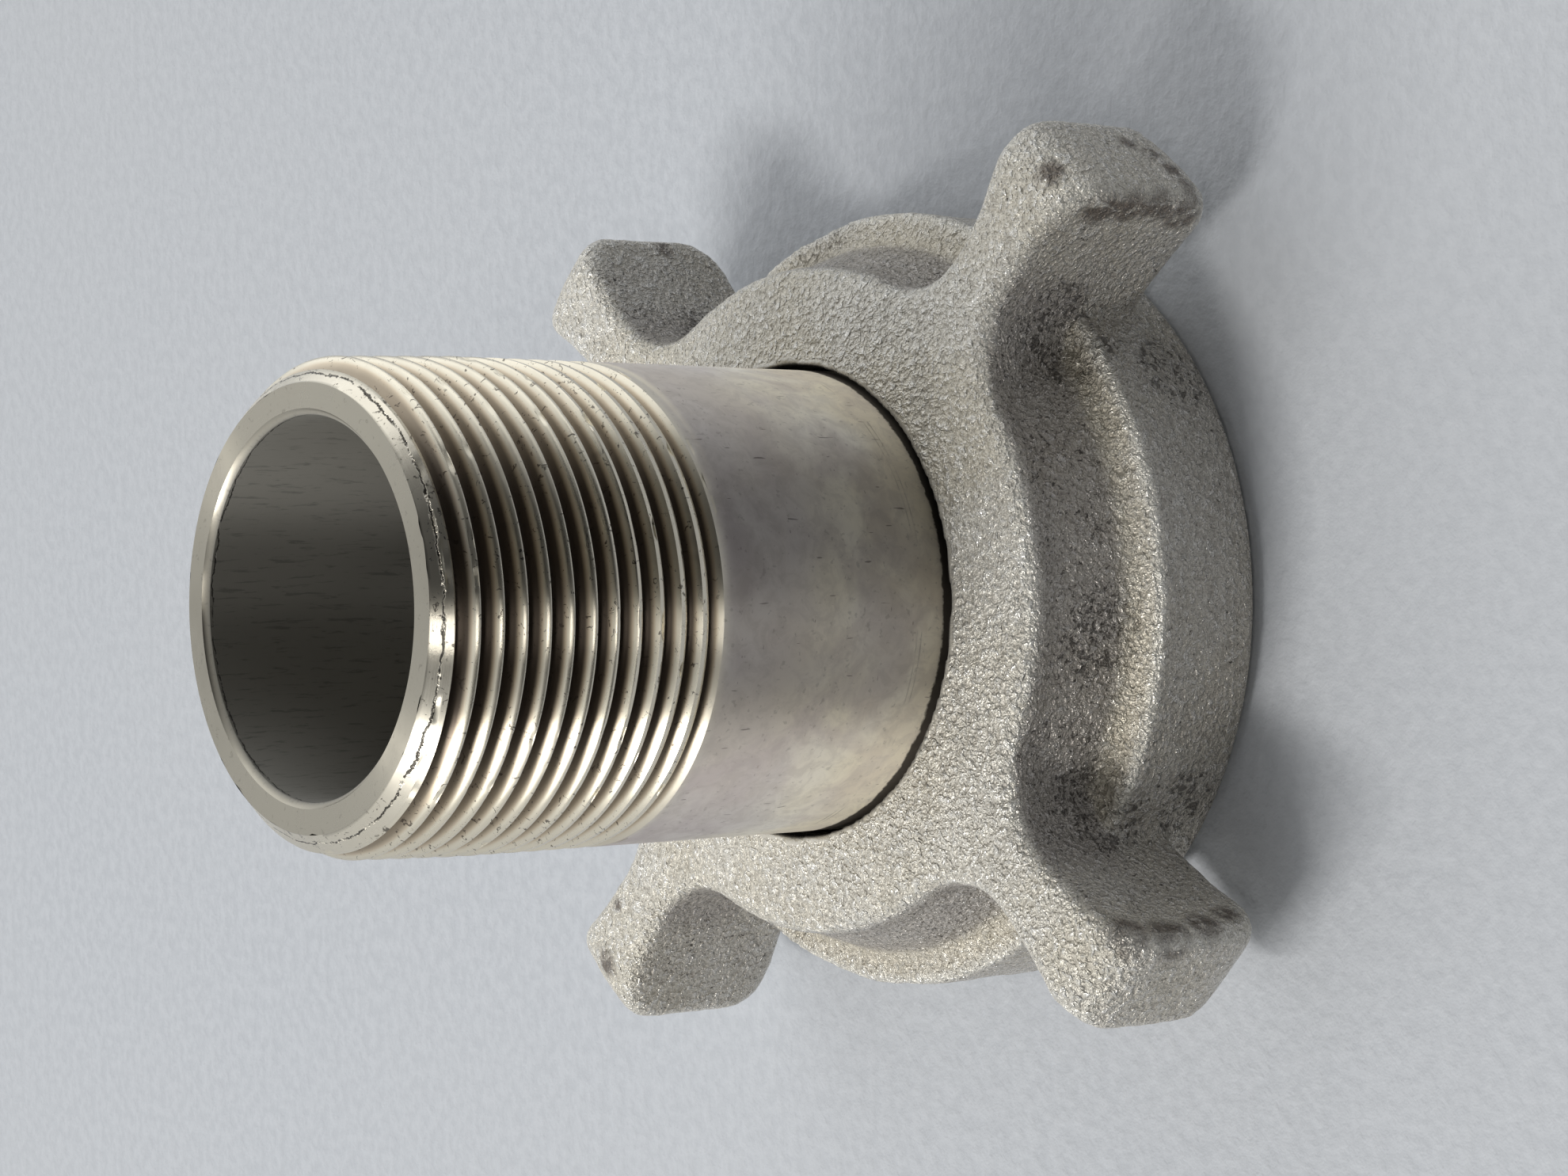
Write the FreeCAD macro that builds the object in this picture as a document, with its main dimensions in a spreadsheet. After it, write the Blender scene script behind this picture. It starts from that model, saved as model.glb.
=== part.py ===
import FreeCAD, Part
import math
import os

import Sketcher

# An acme thread coupling standing on its mouth: a turned steel stem with a male taper pipe
# thread at the top, a cast four-lug nut that turns and slides on it, and a rubber gasket in
# the face of the stem's collar. Millimetres, Z up, origin at the centre of the nut's mouth.

SIZES = {
    # stem, a piece of pipe size 1-1/4
    "pipe_diameter": 42.164,
    "stem_wall": 5.207,
    "stem_length": 75.2,
    "end_chamfer": 2.159,
    "bore_chamfer": 0.5,
    "collar_width": 4.318,
    "collar_thickness": 7.1,
    "collar_chamfer": 0.8,
    "collar_root": 1.2,
    # taper pipe thread, 11.5 turns to the inch
    "pipe_thread_length": 28.1,
    "pipe_thread_pitch": 2.2087,
    "pipe_thread_narrowing": 0.846,
    "pipe_thread_depth": 1.72,
    "pipe_crest_flat": 0.16,
    "pipe_root_flat": 0.22,
    "pipe_taper": 16.0,
    "thread_overshoot": 0.8,
    "thread_runoff": 3.3,
    # gasket in the collar's face
    "gasket_rim": 1.2,
    "gasket_lip": 2.325,
    "gasket_thickness": 3.2,
    "gasket_proud": 0.8,
    "gasket_gap": 0.3,
    # nut: inside, with an acme thread 2-1/4 by 6
    "hole_gap": 0.42,
    "collar_gap": 1.06,
    "nut_travel": 9.7,
    "acme_pitch": 4.2333,
    "acme_depth": 2.37,
    "acme_half_angle": 14.5,
    "acme_length": 12.6,
    "acme_chamfer": 0.4,
    "cavity_corner": 1.0,
    # nut: ring, hub and top
    "ring_wall": 7.22,
    "ring_height": 13.0,
    "ring_edge": 0.6,
    "ledge_rise": 0.2,
    "ledge_edge": 0.5,
    "hub_wall": 4.3,
    "hub_flare": 2.3,
    "hub_foot": 1.9,
    "hub_rim": 3.0,
    "top_wall": 6.75,
    "hub_edge_drop": 1.25,
    # nut: lugs
    "lug_count": 4,
    "lug_angle": 40.85,
    "lug_reach": 14.65,
    "lug_neck": 7.2,
    "lug_root_radius": 8.5,
    "lug_flank_radius": 35.0,
    "lug_corner_radius": 1.6,
    "lug_top_drop": 0.85,
    "lug_bottom": 4.4,
    "lug_foot_rise": 1.0,
    "lug_top_round": 5.0,
    "lug_bottom_round": 5.0,
    "lug_end_spare": 0.4,
    "top_spare": 2.0,
    "cut_spare": 2.0,
    "ring_lap": 1.0,
    "saddle_radius": 6.0,
    "edge_round": 1.6,
}

# lengths that follow from the sizes
LENGTHS = {
    "stem_bore": "pipe_diameter - 2 * stem_wall",
    "stem_top": "gasket_proud + stem_length",
    "pipe_thread_crest": "pipe_diameter - pipe_thread_narrowing",
    "pipe_thread_start": "stem_top - pipe_thread_length",
    "collar_diameter": "pipe_diameter + 2 * collar_width",
    "collar_back": "gasket_proud + collar_thickness",
    "gasket_outside": "collar_diameter - 2 * gasket_rim",
    "gasket_inside": "stem_bore + 2 * gasket_lip",
    "acme_minor": "collar_diameter + 2 * collar_gap",
    "acme_diameter": "acme_minor + 2 * acme_depth",
    "shoulder_height": "collar_back + nut_travel",
    "nut_height": "shoulder_height + top_wall",
    "hub_diameter": "acme_minor + 2 * hub_wall",
    "hub_edge_height": "nut_height - hub_edge_drop",
    "ring_diameter": "acme_diameter + 2 * ring_wall",
    "ledge_height": "ring_height + ledge_rise",
    "lug_span": "ring_diameter + 2 * lug_reach",
    "lug_top": "nut_height - lug_top_drop",
    "lug_foot": "lug_bottom + lug_foot_rise",
}

# two lengths nearer than this are the same
CLOSE = 0.01

doc = FreeCAD.newDocument("AcmeCoupling")
sheet = doc.addObject("Spreadsheet::Sheet", "sizes")
for row, (name, value) in enumerate(SIZES.items(), start=1):
    sheet.set("A%d" % row, name)
    sheet.set("B%d" % row, str(value))
    sheet.setAlias("B%d" % row, name)
doc.recompute()


def terms(expression):
    """The expression with each name written out as references to the sheet."""
    words = []
    for word in expression.split():
        if word in LENGTHS:
            words.append("( " + terms(LENGTHS[word]) + " )")
        elif word in SIZES:
            words.append("<<sizes>>." + word)
        else:
            words.append(word)
    return " ".join(words)


def number(expression):
    """The value of an expression on the sheet."""
    found = sheet.evalExpression(terms(expression))
    return float(getattr(found, "Value", found))


def make_body(name):
    body = doc.addObject("PartDesign::Body", name)
    body.Label = name
    return body


def origin_feature(body, role):
    return [part for part in body.Origin.OriginFeatures if part.Role == role][0]


def make_sketch(body, name, role):
    sketch = body.newObject("Sketcher::SketchObject", name)
    sketch.AttachmentSupport = [(origin_feature(body, role), "")]
    sketch.MapMode = "FlatFace"
    return sketch


def bind(sketch, kind, *arguments, size):
    """Add a constraint whose value is an expression on the sheet."""
    index = sketch.addConstraint(Sketcher.Constraint(kind, *arguments, number(size)))
    sketch.setExpression("Constraints[%d]" % index, terms(size))


def place_point(sketch, line, end, x, y):
    """Hold a point at the expressions x and y, measured from the sketch's origin."""
    if x == "0":
        sketch.addConstraint(Sketcher.Constraint("PointOnObject", line, end, -2))
    else:
        bind(sketch, "DistanceX", -1, 1, line, end, size=x)
    if y == "0":
        sketch.addConstraint(Sketcher.Constraint("PointOnObject", line, end, -1))
    else:
        bind(sketch, "DistanceY", -1, 1, line, end, size=y)


def outline(sketch, corners):
    """Draw a closed outline. A corner is (x, y), or (x, y, radius) where it is rounded."""
    points = []
    for corner in corners:
        points.append(FreeCAD.Vector(number(corner[0]), number(corner[1]), 0))
    count = len(corners)
    starts = list(points)
    ends = [points[(i + 1) % count] for i in range(count)]
    turns = {}
    for i, corner in enumerate(corners):
        if len(corner) == 3:
            before = (points[i] - points[i - 1]).normalize()
            after = (points[(i + 1) % count] - points[i]).normalize()
            half_turn = before.getAngle(after) / 2
            reach = number(corner[2]) * math.tan(half_turn)
            starts[i] = points[i] + after * reach
            ends[i - 1] = points[i] - before * reach
            turns[i] = before.cross(after).z > 0
    for i in range(count):
        sketch.addGeometry(Part.LineSegment(starts[i], ends[i]), False)
    for i, corner in enumerate(corners):
        previous = (i - 1) % count
        if i not in turns:
            sketch.addConstraint(Sketcher.Constraint("Coincident", previous, 2, i, 1))
            place_point(sketch, i, 1, corner[0], corner[1])
            continue
        radius = number(corner[2])
        direction = (ends[previous] - points[i]).normalize() + (starts[i] - points[i]).normalize()
        reach = math.hypot(radius, (starts[i] - points[i]).Length)
        centre = points[i] + direction.normalize() * reach
        first, last = (ends[previous], starts[i]) if turns[i] else (starts[i], ends[previous])
        angles = [math.atan2(p.y - centre.y, p.x - centre.x) for p in (first, last)]
        circle = Part.Circle(centre, FreeCAD.Vector(0, 0, 1), radius)
        arc = sketch.addGeometry(Part.ArcOfCircle(circle, *angles), False)
        mark = sketch.addGeometry(Part.Point(points[i]), True)
        into, out_of = (1, 2) if turns[i] else (2, 1)
        sketch.addConstraint(Sketcher.Constraint("Tangent", previous, 2, arc, into))
        sketch.addConstraint(Sketcher.Constraint("Tangent", i, 1, arc, out_of))
        bind(sketch, "Radius", arc, size=corner[2])
        place_point(sketch, mark, 1, corner[0], corner[1])
        sketch.addConstraint(Sketcher.Constraint("PointOnObject", mark, 1, previous))
        sketch.addConstraint(Sketcher.Constraint("PointOnObject", mark, 1, i))


def turn(body, kind, name, corners):
    """Turn an outline, drawn in the XZ plane, about the Z axis."""
    sketch = make_sketch(body, name + "_outline", "XZ_Plane")
    outline(sketch, corners)
    feature = body.newObject("PartDesign::" + kind, name)
    feature.Profile = sketch
    feature.ReferenceAxis = (sketch, ["V_Axis"])
    feature.Angle = 360
    doc.recompute()
    return feature


def cut_thread(blank, name, groove_name, corners, size):
    """Cut a right-hand helical groove, with the outline given in the XZ plane, upwards."""
    outline_sketch = doc.addObject("Sketcher::SketchObject", groove_name + "_outline")
    outline_sketch.Placement.Rotation = FreeCAD.Rotation(FreeCAD.Vector(1, 0, 0), 90)
    outline(outline_sketch, corners)
    path = doc.addObject("Part::Helix", groove_name + "_path")
    path.SegmentLength = 1
    path.setExpression("Pitch", terms(size["pitch"]))
    path.setExpression("Height", terms(size["length"]))
    path.setExpression("Radius", terms(size["radius"]))
    path.setExpression("Angle", terms(size["angle"]))
    path.setExpression(".Placement.Base.z", terms(size["start"]))
    groove = doc.addObject("Part::Sweep", groove_name)
    groove.Sections = [outline_sketch]
    groove.Spine = (path, [])
    groove.Solid = True
    groove.Frenet = True
    threaded = doc.addObject("Part::Cut", name)
    threaded.Base = blank
    threaded.Tool = groove
    threaded.Label = name
    doc.recompute()
    return threaded


def make_stem():
    body = make_body("stem_blank")
    outer = "pipe_diameter / 2"
    crest = "pipe_thread_crest / 2"
    taper_foot = "stem_top - pipe_thread_narrowing * pipe_taper"
    recess_inside = "gasket_inside / 2 - gasket_gap"
    recess_outside = "gasket_outside / 2 + gasket_gap"
    turn(body, "Revolution", "stem_turning", [
        ("stem_bore / 2", "gasket_proud"),
        (recess_inside, "gasket_proud"),
        (recess_inside, "gasket_thickness"),
        (recess_outside, "gasket_thickness"),
        (recess_outside, "gasket_proud"),
        ("collar_diameter / 2", "gasket_proud"),
        ("collar_diameter / 2", "collar_back - collar_chamfer"),
        ("collar_diameter / 2 - collar_chamfer", "collar_back"),
        (outer, "collar_back", "collar_root"),
        (outer, taper_foot),
        (crest, "stem_top - end_chamfer"),
        (crest + " - end_chamfer", "stem_top"),
        ("stem_bore / 2 + bore_chamfer", "stem_top"),
        ("stem_bore / 2", "stem_top - bore_chamfer"),
    ])
    # the groove widens outwards at 30 degrees a side, then runs straight past the crest
    cone = "( " + crest + " + pipe_thread_length / ( 2 * pipe_taper ) )"
    root = "( " + cone + " - pipe_thread_depth )"
    past = cone + " + thread_overshoot"
    half_mouth = "( pipe_thread_pitch - pipe_crest_flat ) / 2"
    half_root = "pipe_root_flat / 2"
    return cut_thread(body, "stem", "pipe_thread", [
        (root, "pipe_thread_start - " + half_root),
        (cone, "pipe_thread_start - " + half_mouth),
        (past, "pipe_thread_start - " + half_mouth),
        (past, "pipe_thread_start + " + half_mouth),
        (cone, "pipe_thread_start + " + half_mouth),
        (root, "pipe_thread_start + " + half_root),
    ], {
        "pitch": "pipe_thread_pitch",
        "length": "pipe_thread_length + thread_runoff",
        "radius": root,
        "angle": "-1 * atan( 1 / ( 2 * pipe_taper ) )",
        "start": "pipe_thread_start",
    })


def lug_half(body):
    """The plan of one side of a lug, from the axis to the end, with X along the lug."""
    sketch = make_sketch(body, "lug_plan", "XY_Plane")
    hub = number("hub_diameter / 2")
    neck = number("lug_neck / 2")
    root = number("lug_root_radius")
    flank = number("lug_flank_radius")
    corner = number("lug_corner_radius")
    end = number("lug_span / 2 + lug_end_spare")
    neck_x = math.sqrt((hub + root) ** 2 - (neck + root) ** 2)
    corner_x = end - corner
    corner_y = neck + flank - math.sqrt((flank + corner) ** 2 - (corner_x - neck_x) ** 2)
    tilt = math.atan2(neck + root, neck_x)
    touch = math.atan2(neck + flank - corner_y, corner_x - neck_x)
    upright = FreeCAD.Vector(0, 0, 1)
    centre = FreeCAD.Vector(0, 0, 0)
    start = FreeCAD.Vector(hub * math.cos(tilt), hub * math.sin(tilt), 0)
    side = FreeCAD.Vector(end, corner_y, 0)
    foot = FreeCAD.Vector(end, 0, 0)
    root_circle = Part.Circle(FreeCAD.Vector(neck_x, neck + root, 0), upright, root)
    flank_circle = Part.Circle(FreeCAD.Vector(neck_x, neck + flank, 0), upright, flank)
    corner_circle = Part.Circle(FreeCAD.Vector(corner_x, corner_y, 0), upright, corner)
    sketch.addGeometry([
        Part.LineSegment(centre, start),
        Part.ArcOfCircle(root_circle, math.pi + tilt, 1.5 * math.pi),
        Part.ArcOfCircle(flank_circle, 1.5 * math.pi, 2 * math.pi - touch),
        Part.ArcOfCircle(corner_circle, 0, math.pi - touch),
        Part.LineSegment(side, foot),
        Part.LineSegment(foot, centre),
    ], False)
    sketch.addConstraint([
        Sketcher.Constraint("Coincident", 0, 1, -1, 1),
        Sketcher.Constraint("Coincident", 5, 2, -1, 1),
        Sketcher.Constraint("Coincident", 4, 2, 5, 1),
        Sketcher.Constraint("Horizontal", 5),
        Sketcher.Constraint("Vertical", 4),
        Sketcher.Constraint("Perpendicular", 0, 2, 1, 1),
        Sketcher.Constraint("Tangent", 1, 2, 2, 1),
        Sketcher.Constraint("Tangent", 2, 2, 3, 2),
        Sketcher.Constraint("Tangent", 3, 1, 4, 1),
        Sketcher.Constraint("Vertical", 1, 3, 1, 2),
    ])
    bind(sketch, "Distance", 0, size="hub_diameter / 2")
    bind(sketch, "Radius", 1, size="lug_root_radius")
    bind(sketch, "Radius", 2, size="lug_flank_radius")
    bind(sketch, "Radius", 3, size="lug_corner_radius")
    bind(sketch, "DistanceY", -1, 1, 1, 2, size="lug_neck / 2")
    bind(sketch, "DistanceX", -1, 1, 4, 2, size="lug_span / 2 + lug_end_spare")
    return sketch


def make_lugs(body):
    """Four lugs as plain prisms, a little taller and longer than they end up."""
    sketch = lug_half(body)
    sketch.setExpression("AttachmentOffset.Base.z", terms("lug_bottom"))
    half = body.newObject("PartDesign::Pad", "lug_half")
    half.Profile = sketch
    half.setExpression("Length", terms("nut_height + top_spare - lug_bottom"))
    doc.recompute()
    both = body.newObject("PartDesign::MultiTransform", "lugs")
    both.Originals = [half]
    mirror = body.newObject("PartDesign::Mirrored", "lug_other_half")
    mirror.MirrorPlane = (origin_feature(body, "XZ_Plane"), [""])
    round_axis = body.newObject("PartDesign::PolarPattern", "lug_ring")
    round_axis.Axis = (origin_feature(body, "Z_Axis"), [""])
    round_axis.Angle = 360
    round_axis.setExpression("Occurrences", terms("lug_count"))
    both.Transformations = [mirror, round_axis]
    body.Tip = both
    doc.recompute()
    return both


def is_lug_edge(edge, faces):
    """True for an edge where a lug's or the hub's side meets its top, end or underside."""
    middle = edge.valueAt((edge.FirstParameter + edge.LastParameter) / 2)
    from_axis = math.hypot(middle.x, middle.y)
    above_ledge = middle.z > number("ledge_height + hub_foot")
    clear_of_ring = from_axis > number("ring_diameter / 2 + lug_bottom_round")
    if not (above_ledge or clear_of_ring):
        return False
    upright = [is_upright_side(face) for face in faces]
    return upright.count(True) == 1 and len(upright) == 2


def is_upright_side(face):
    """True for the hub's side, rim and flare, and for the sides of the lugs, not their ends."""
    surface = face.Surface
    if surface.TypeId == "Part::GeomCone":
        return abs(surface.SemiAngle) < math.pi / 4
    if surface.TypeId != "Part::GeomCylinder":
        return False
    off_axis = math.hypot(surface.Center.x, surface.Center.y) > CLOSE
    return off_axis or abs(surface.Radius - number("hub_diameter / 2")) < CLOSE


def round_edges(body, name, test, size):
    """Round the edges of the body's tip that pass the test."""
    base = body.Tip
    shape = base.Shape
    chosen = []
    for index, edge in enumerate(shape.Edges, start=1):
        if test(edge, shape.ancestorsOfType(edge, Part.Face)):
            chosen.append("Edge%d" % index)
    feature = body.newObject("PartDesign::Fillet", name)
    feature.Base = (base, chosen)
    feature.setExpression("Radius", terms(size))
    doc.recompute()
    return feature


def make_nut():
    body = make_body("nut_blank")
    make_lugs(body)
    hub = "hub_diameter / 2"
    ring = "ring_diameter / 2"
    reach = "lug_span / 2"
    hole = "( pipe_diameter / 2 + hole_gap )"
    middle = "( lug_top + lug_bottom ) / 2"
    above = "nut_height + top_spare + cut_spare"
    outside = "lug_span / 2 + lug_end_spare + cut_spare"
    inside = ring + " - ring_lap"
    turn(body, "Groove", "lug_undersides", [
        (inside, "lug_foot"),
        (inside, "-1 * cut_spare"),
        (outside, "-1 * cut_spare"),
        (outside, middle),
        (reach, middle),
        (reach, "lug_bottom", "lug_bottom_round"),
    ])
    # below its straight rim the hub widens to its foot on the ring
    turn(body, "Revolution", "ring_and_hub", [
        ("0", "0"),
        (ring + " - ring_edge", "0"),
        (ring, "ring_edge"),
        (ring, "ring_height", "ledge_edge"),
        (hub + " + hub_flare", "ledge_height", "hub_foot"),
        (hub, "hub_edge_height - hub_rim"),
        (hub, "nut_height + top_spare"),
        ("0", "nut_height + top_spare"),
    ])
    turn(body, "Groove", "top", [
        (hole + " - cut_spare", "nut_height"),
        (hole, "nut_height"),
        (hub, "hub_edge_height", "saddle_radius"),
        (reach, "lug_top", "lug_top_round"),
        (reach, middle),
        (outside, middle),
        (outside, above),
        (hole + " - cut_spare", above),
    ])
    round_edges(body, "lug_edges", is_lug_edge, "edge_round")
    minor = "acme_minor / 2"
    mouth = "( acme_diameter / 2 + acme_chamfer )"
    turn(body, "Groove", "cavity", [
        ("0", "-1 * cut_spare"),
        (mouth + " + cut_spare", "-1 * cut_spare"),
        (minor, mouth + " - " + minor),
        (minor, "shoulder_height", "cavity_corner"),
        (hole + " + collar_root", "shoulder_height"),
        (hole, "shoulder_height + collar_root"),
        (hole, above),
        ("0", above),
    ])
    # the groove narrows outwards by the thread's half angle on each side
    slope = "acme_depth / 2 * tan( acme_half_angle )"
    wide = "( acme_pitch / 4 + " + slope + " )"
    narrow = "( acme_pitch / 4 - " + slope + " )"
    major = "acme_diameter / 2"
    start = "-1 * acme_pitch"
    nut = cut_thread(body, "nut", "acme_thread", [
        (minor + " - thread_overshoot", start + " - " + wide),
        (minor, start + " - " + wide),
        (major, start + " - " + narrow),
        (major, start + " + " + narrow),
        (minor, start + " + " + wide),
        (minor + " - thread_overshoot", start + " + " + wide),
    ], {
        "pitch": "acme_pitch",
        "length": "acme_length + acme_pitch",
        "radius": minor,
        "angle": "0",
        "start": start,
    })
    turned = FreeCAD.Rotation(FreeCAD.Vector(0, 0, 1), -number("lug_angle"))
    nut.Placement = FreeCAD.Placement(FreeCAD.Vector(0, 0, 0), turned)
    return nut


def make_gasket():
    body = make_body("gasket")
    turn(body, "Revolution", "gasket_ring", [
        ("gasket_inside / 2", "0"),
        ("gasket_outside / 2", "0"),
        ("gasket_outside / 2", "gasket_thickness"),
        ("gasket_inside / 2", "gasket_thickness"),
    ])
    return body


def check_document():
    """Stop if any object of the document failed to build."""
    doc.recompute()
    for thing in doc.Objects:
        if "Invalid" in thing.State or "Error" in thing.State:
            raise RuntimeError(thing.Name + ": " + thing.getStatusString())


def write_parts(parts):
    for part in parts:
        if part.Shape.isNull() or not part.Shape.isValid():
            raise RuntimeError(part.Label + " has no valid shape")
    os.makedirs("parts", exist_ok=True)
    for part in parts:
        part.Shape.exportStep("parts/" + part.Label + ".step")
        print(part.Label, "volume", round(part.Shape.Volume, 1), "mm3")


pieces = [make_stem(), make_nut(), make_gasket()]
check_document()
write_parts(pieces)
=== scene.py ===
import math

import bmesh
import bpy
from mathutils import Matrix, Vector, noise


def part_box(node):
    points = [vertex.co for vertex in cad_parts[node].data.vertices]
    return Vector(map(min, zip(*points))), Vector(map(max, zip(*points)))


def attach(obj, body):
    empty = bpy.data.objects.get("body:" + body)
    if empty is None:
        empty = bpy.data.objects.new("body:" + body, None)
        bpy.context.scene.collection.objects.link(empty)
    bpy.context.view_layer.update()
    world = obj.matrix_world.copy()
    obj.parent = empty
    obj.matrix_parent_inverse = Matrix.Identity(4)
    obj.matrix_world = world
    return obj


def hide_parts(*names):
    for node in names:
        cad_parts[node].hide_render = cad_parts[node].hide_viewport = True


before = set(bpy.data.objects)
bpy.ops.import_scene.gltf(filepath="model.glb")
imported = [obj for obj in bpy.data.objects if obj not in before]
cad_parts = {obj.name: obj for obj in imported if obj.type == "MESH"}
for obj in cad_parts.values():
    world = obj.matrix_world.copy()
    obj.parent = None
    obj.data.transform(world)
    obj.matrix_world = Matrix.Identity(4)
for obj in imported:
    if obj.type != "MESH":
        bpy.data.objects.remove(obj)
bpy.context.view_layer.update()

# The looks of an acme thread coupling: a turned steel stem with a taper pipe thread, standing
# in a cast four-lug nut on a pale bench. Lengths are in metres and Z is up.

MM = 0.001

# the camera that took the photograph, found from the pipe thread, the rims and the lugs
IMAGE_WIDTH = 1980
FOCAL_PIXELS = 4241.4
SENSOR_WIDTH = 36.0
CLIP_NEAR, CLIP_FAR = 0.01, 10.0
CAMERA_TARGET = Vector((1.18, 0.0, 24.91)) * MM
CAMERA_DISTANCE = 307.0 * MM
CAMERA_ELEVATION = math.radians(39.72)
CAMERA_ROLL = math.radians(0.75)

# the stem
STEM_FOOT, STEM_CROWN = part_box("stem")
STEM_TOP = STEM_CROWN.z
PIPE_RADIUS = 21.082 * MM
BORE_RADIUS = 15.875 * MM
BORE_CHAMFER = 0.5 * MM
END_FACE_RADIUS = 18.5 * MM
COLLAR_RADIUS = 25.4 * MM
COLLAR_FACE = STEM_FOOT.z
COLLAR_BACK = COLLAR_FACE + 7.1 * MM
COLLAR_CHAMFER = 0.8 * MM
COLLAR_ROOT = 1.2 * MM
RECESS_INNER = 17.9 * MM
RECESS_OUTER = 24.5 * MM
RECESS_DEPTH = 2.4 * MM
TURNED_LINES = (26.9 * MM, 27.4 * MM)
STEM_COLUMNS = 256
WALL_STEPS = 24
ROOT_STEPS = 6
STEM_SHARP = math.radians(38)

# the pipe thread on the stem
PITCH = 2.2087 * MM
CREST_RADIUS = 20.659 * MM
THREAD_DEPTH = 1.72 * MM
THREAD_LENGTH = 28.1 * MM
THREAD_START = STEM_TOP - THREAD_LENGTH
THREAD_FOOT = THREAD_START - PITCH / 2
THREAD_TURNS = math.ceil(THREAD_LENGTH / PITCH) + 1
CREST_FLAT = 0.02 * MM
CREST_ROUND = 0.62 * MM
CREST_LEAN = math.radians(18)
FLANK = math.radians(60)
TAPER = 1 / 32
FADE_TURNS = 1.2
FADE_SHIFT = 0.25
PLAIN_FADE = 1.6 * PITCH
NICK_REACH = 0.3 * MM
NICK_DEPTH = 0.14 * MM
NICKS_ROUND, NICKS_ALONG = 9, 3.1

# the nut
NUT_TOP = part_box("nut")[1].z
VOXEL = 0.55 * MM
SMOOTH_SHARE, SMOOTH_PASSES = 0.5, 3
STEM_HOLE = 21.5 * MM
RING_RADIUS = 36.05 * MM
RING_FOOT = 1.5 * MM
# marks kept on the casting's mesh; dark and hole are painted shade, edge is a painted highlight
# with some wear, and pits is partly painted shade
CAST_LAYERS = ("pits", "dark", "ledge", "stain", "coarse", "edge", "hole", "turned")

# dark stains on the lugs: (place, radius) in mm
STAINS = [
    ((32.8, -35.2, 18.6), 2.6), ((33.0, -35.6, 15.6), 2.4), ((33.2, -35.9, 12.6), 2.4),
    ((32.9, -35.6, 9.0), 2.8), ((39.4, -32.2, 12.4), 1.2), ((38.3, -33.2, 10.5), 1.3),
    ((36.8, -34.8, 9.7), 1.3), ((35.3, -36.3, 9.3), 1.3), ((35.9, -32.8, 22.4), 1.8),
    ((-27.9, -39.9, 21.4), 2.8), ((-28.2, -40.9, 17.2), 3.0), ((-27.8, -40.2, 12.6), 2.2),
    ((-27.2, -39.3, 8.8), 1.8), ((35.7, 33.1, 12.5), 1.4), ((-35.5, 30.0, 23.3), 1.8),
    ((-29.7, 28.1, 23.3), 0.9), ((-33.0, 36.0, 14.0), 2.6), ((22.0, 38.0, 9.0), 2.4),
]

# places where the casting's pits are coarse: (place, radius) in mm
COARSE = [
    ((23.2, -25.6, 14.2), 7.6), ((19.8, -30.1, 5.1), 5.6), ((-18.3, -28.2, 13.7), 7.0),
    ((-17.9, -31.3, 5.0), 5.0), ((-3.0, -31.0, 16.0), 6.0), ((24.0, 26.0, 12.0), 8.0),
    ((-25.0, 24.0, 8.0), 8.0), ((33.0, 8.0, 14.0), 6.0),
]


def rgb(red, green, blue):
    """A linear colour with an alpha of one."""
    return (red, green, blue, 1.0)


# the casting's colours
CAST_WARM = rgb(0.69, 0.645, 0.545)
CAST_PALE = rgb(0.72, 0.69, 0.62)
CAST_GRAIN_DARK_AND_SHADE = rgb(0.28, 0.25, 0.205)
CAST_GRAIN_LIGHT_AND_GLINT = rgb(0.92, 0.905, 0.86)
CAST_PAINTED_SHADE = rgb(0.245, 0.215, 0.205)
CAST_CLUSTER = rgb(0.17, 0.14, 0.13)
CAST_PIT_AND_SHADE = rgb(0.050, 0.042, 0.036)
CAST_LEDGE = rgb(0.60, 0.535, 0.41)
CAST_STAIN = rgb(0.115, 0.088, 0.070)
CAST_EDGE_HIGHLIGHT_AND_WEAR = rgb(0.86, 0.84, 0.77)
CAST_TURNED = rgb(0.54, 0.515, 0.46)
HOLE_SHADE_BLACK = rgb(0.030, 0.026, 0.022)
CAST_METALLIC = 0.45

# the steel's colours
STEEL_WARM = rgb(0.68, 0.63, 0.515)
STEEL_PALE = rgb(0.69, 0.66, 0.59)
STEEL_CLOUD = rgb(0.42, 0.365, 0.35)
STEEL_PURPLE = rgb(0.42, 0.375, 0.385)
STEEL_STRAW = rgb(0.64, 0.565, 0.41)
STEEL_SPECK = rgb(0.20, 0.18, 0.16)
STEEL_MOTTLE = rgb(0.36, 0.32, 0.29)
SCRATCH = rgb(0.09, 0.075, 0.07)
THREAD_PALE = rgb(0.80, 0.745, 0.61)
TURNED_LINE = rgb(0.10, 0.085, 0.075)
GAP_SHADE_BLACK = rgb(0.035, 0.028, 0.023)
CREST_PALE = rgb(0.79, 0.73, 0.59)
GROOVE_RUST = rgb(0.58, 0.46, 0.32)
NICK_BROWN = rgb(0.06, 0.048, 0.040)
GROOVE_DIRT_AND_SHADE = rgb(0.075, 0.058, 0.048)
BORE_GREY = rgb(0.125, 0.125, 0.117)
BORE_STREAK = rgb(0.05, 0.05, 0.045)
END_FACE_GREY = rgb(0.36, 0.335, 0.275)
BURR_BLACK = rgb(0.035, 0.030, 0.025)
BORE_METALLIC = 0.35

# the rubber's and the bench's colours
RUBBER_BLACK = rgb(0.018, 0.018, 0.019)
RUBBER_DUST = rgb(0.05, 0.05, 0.05)
BENCH_DARK = rgb(0.455, 0.475, 0.505)
BENCH_LIGHT = rgb(0.500, 0.520, 0.550)
BENCH_WARM = rgb(0.51, 0.52, 0.535)
BENCH_ROUGHNESS = 0.55
BENCH_HALF = 2.0

# the light
ROOM_COLOR = rgb(0.96, 0.98, 1.0)
LAMP_COLOR = (1.0, 0.985, 0.96)


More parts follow.
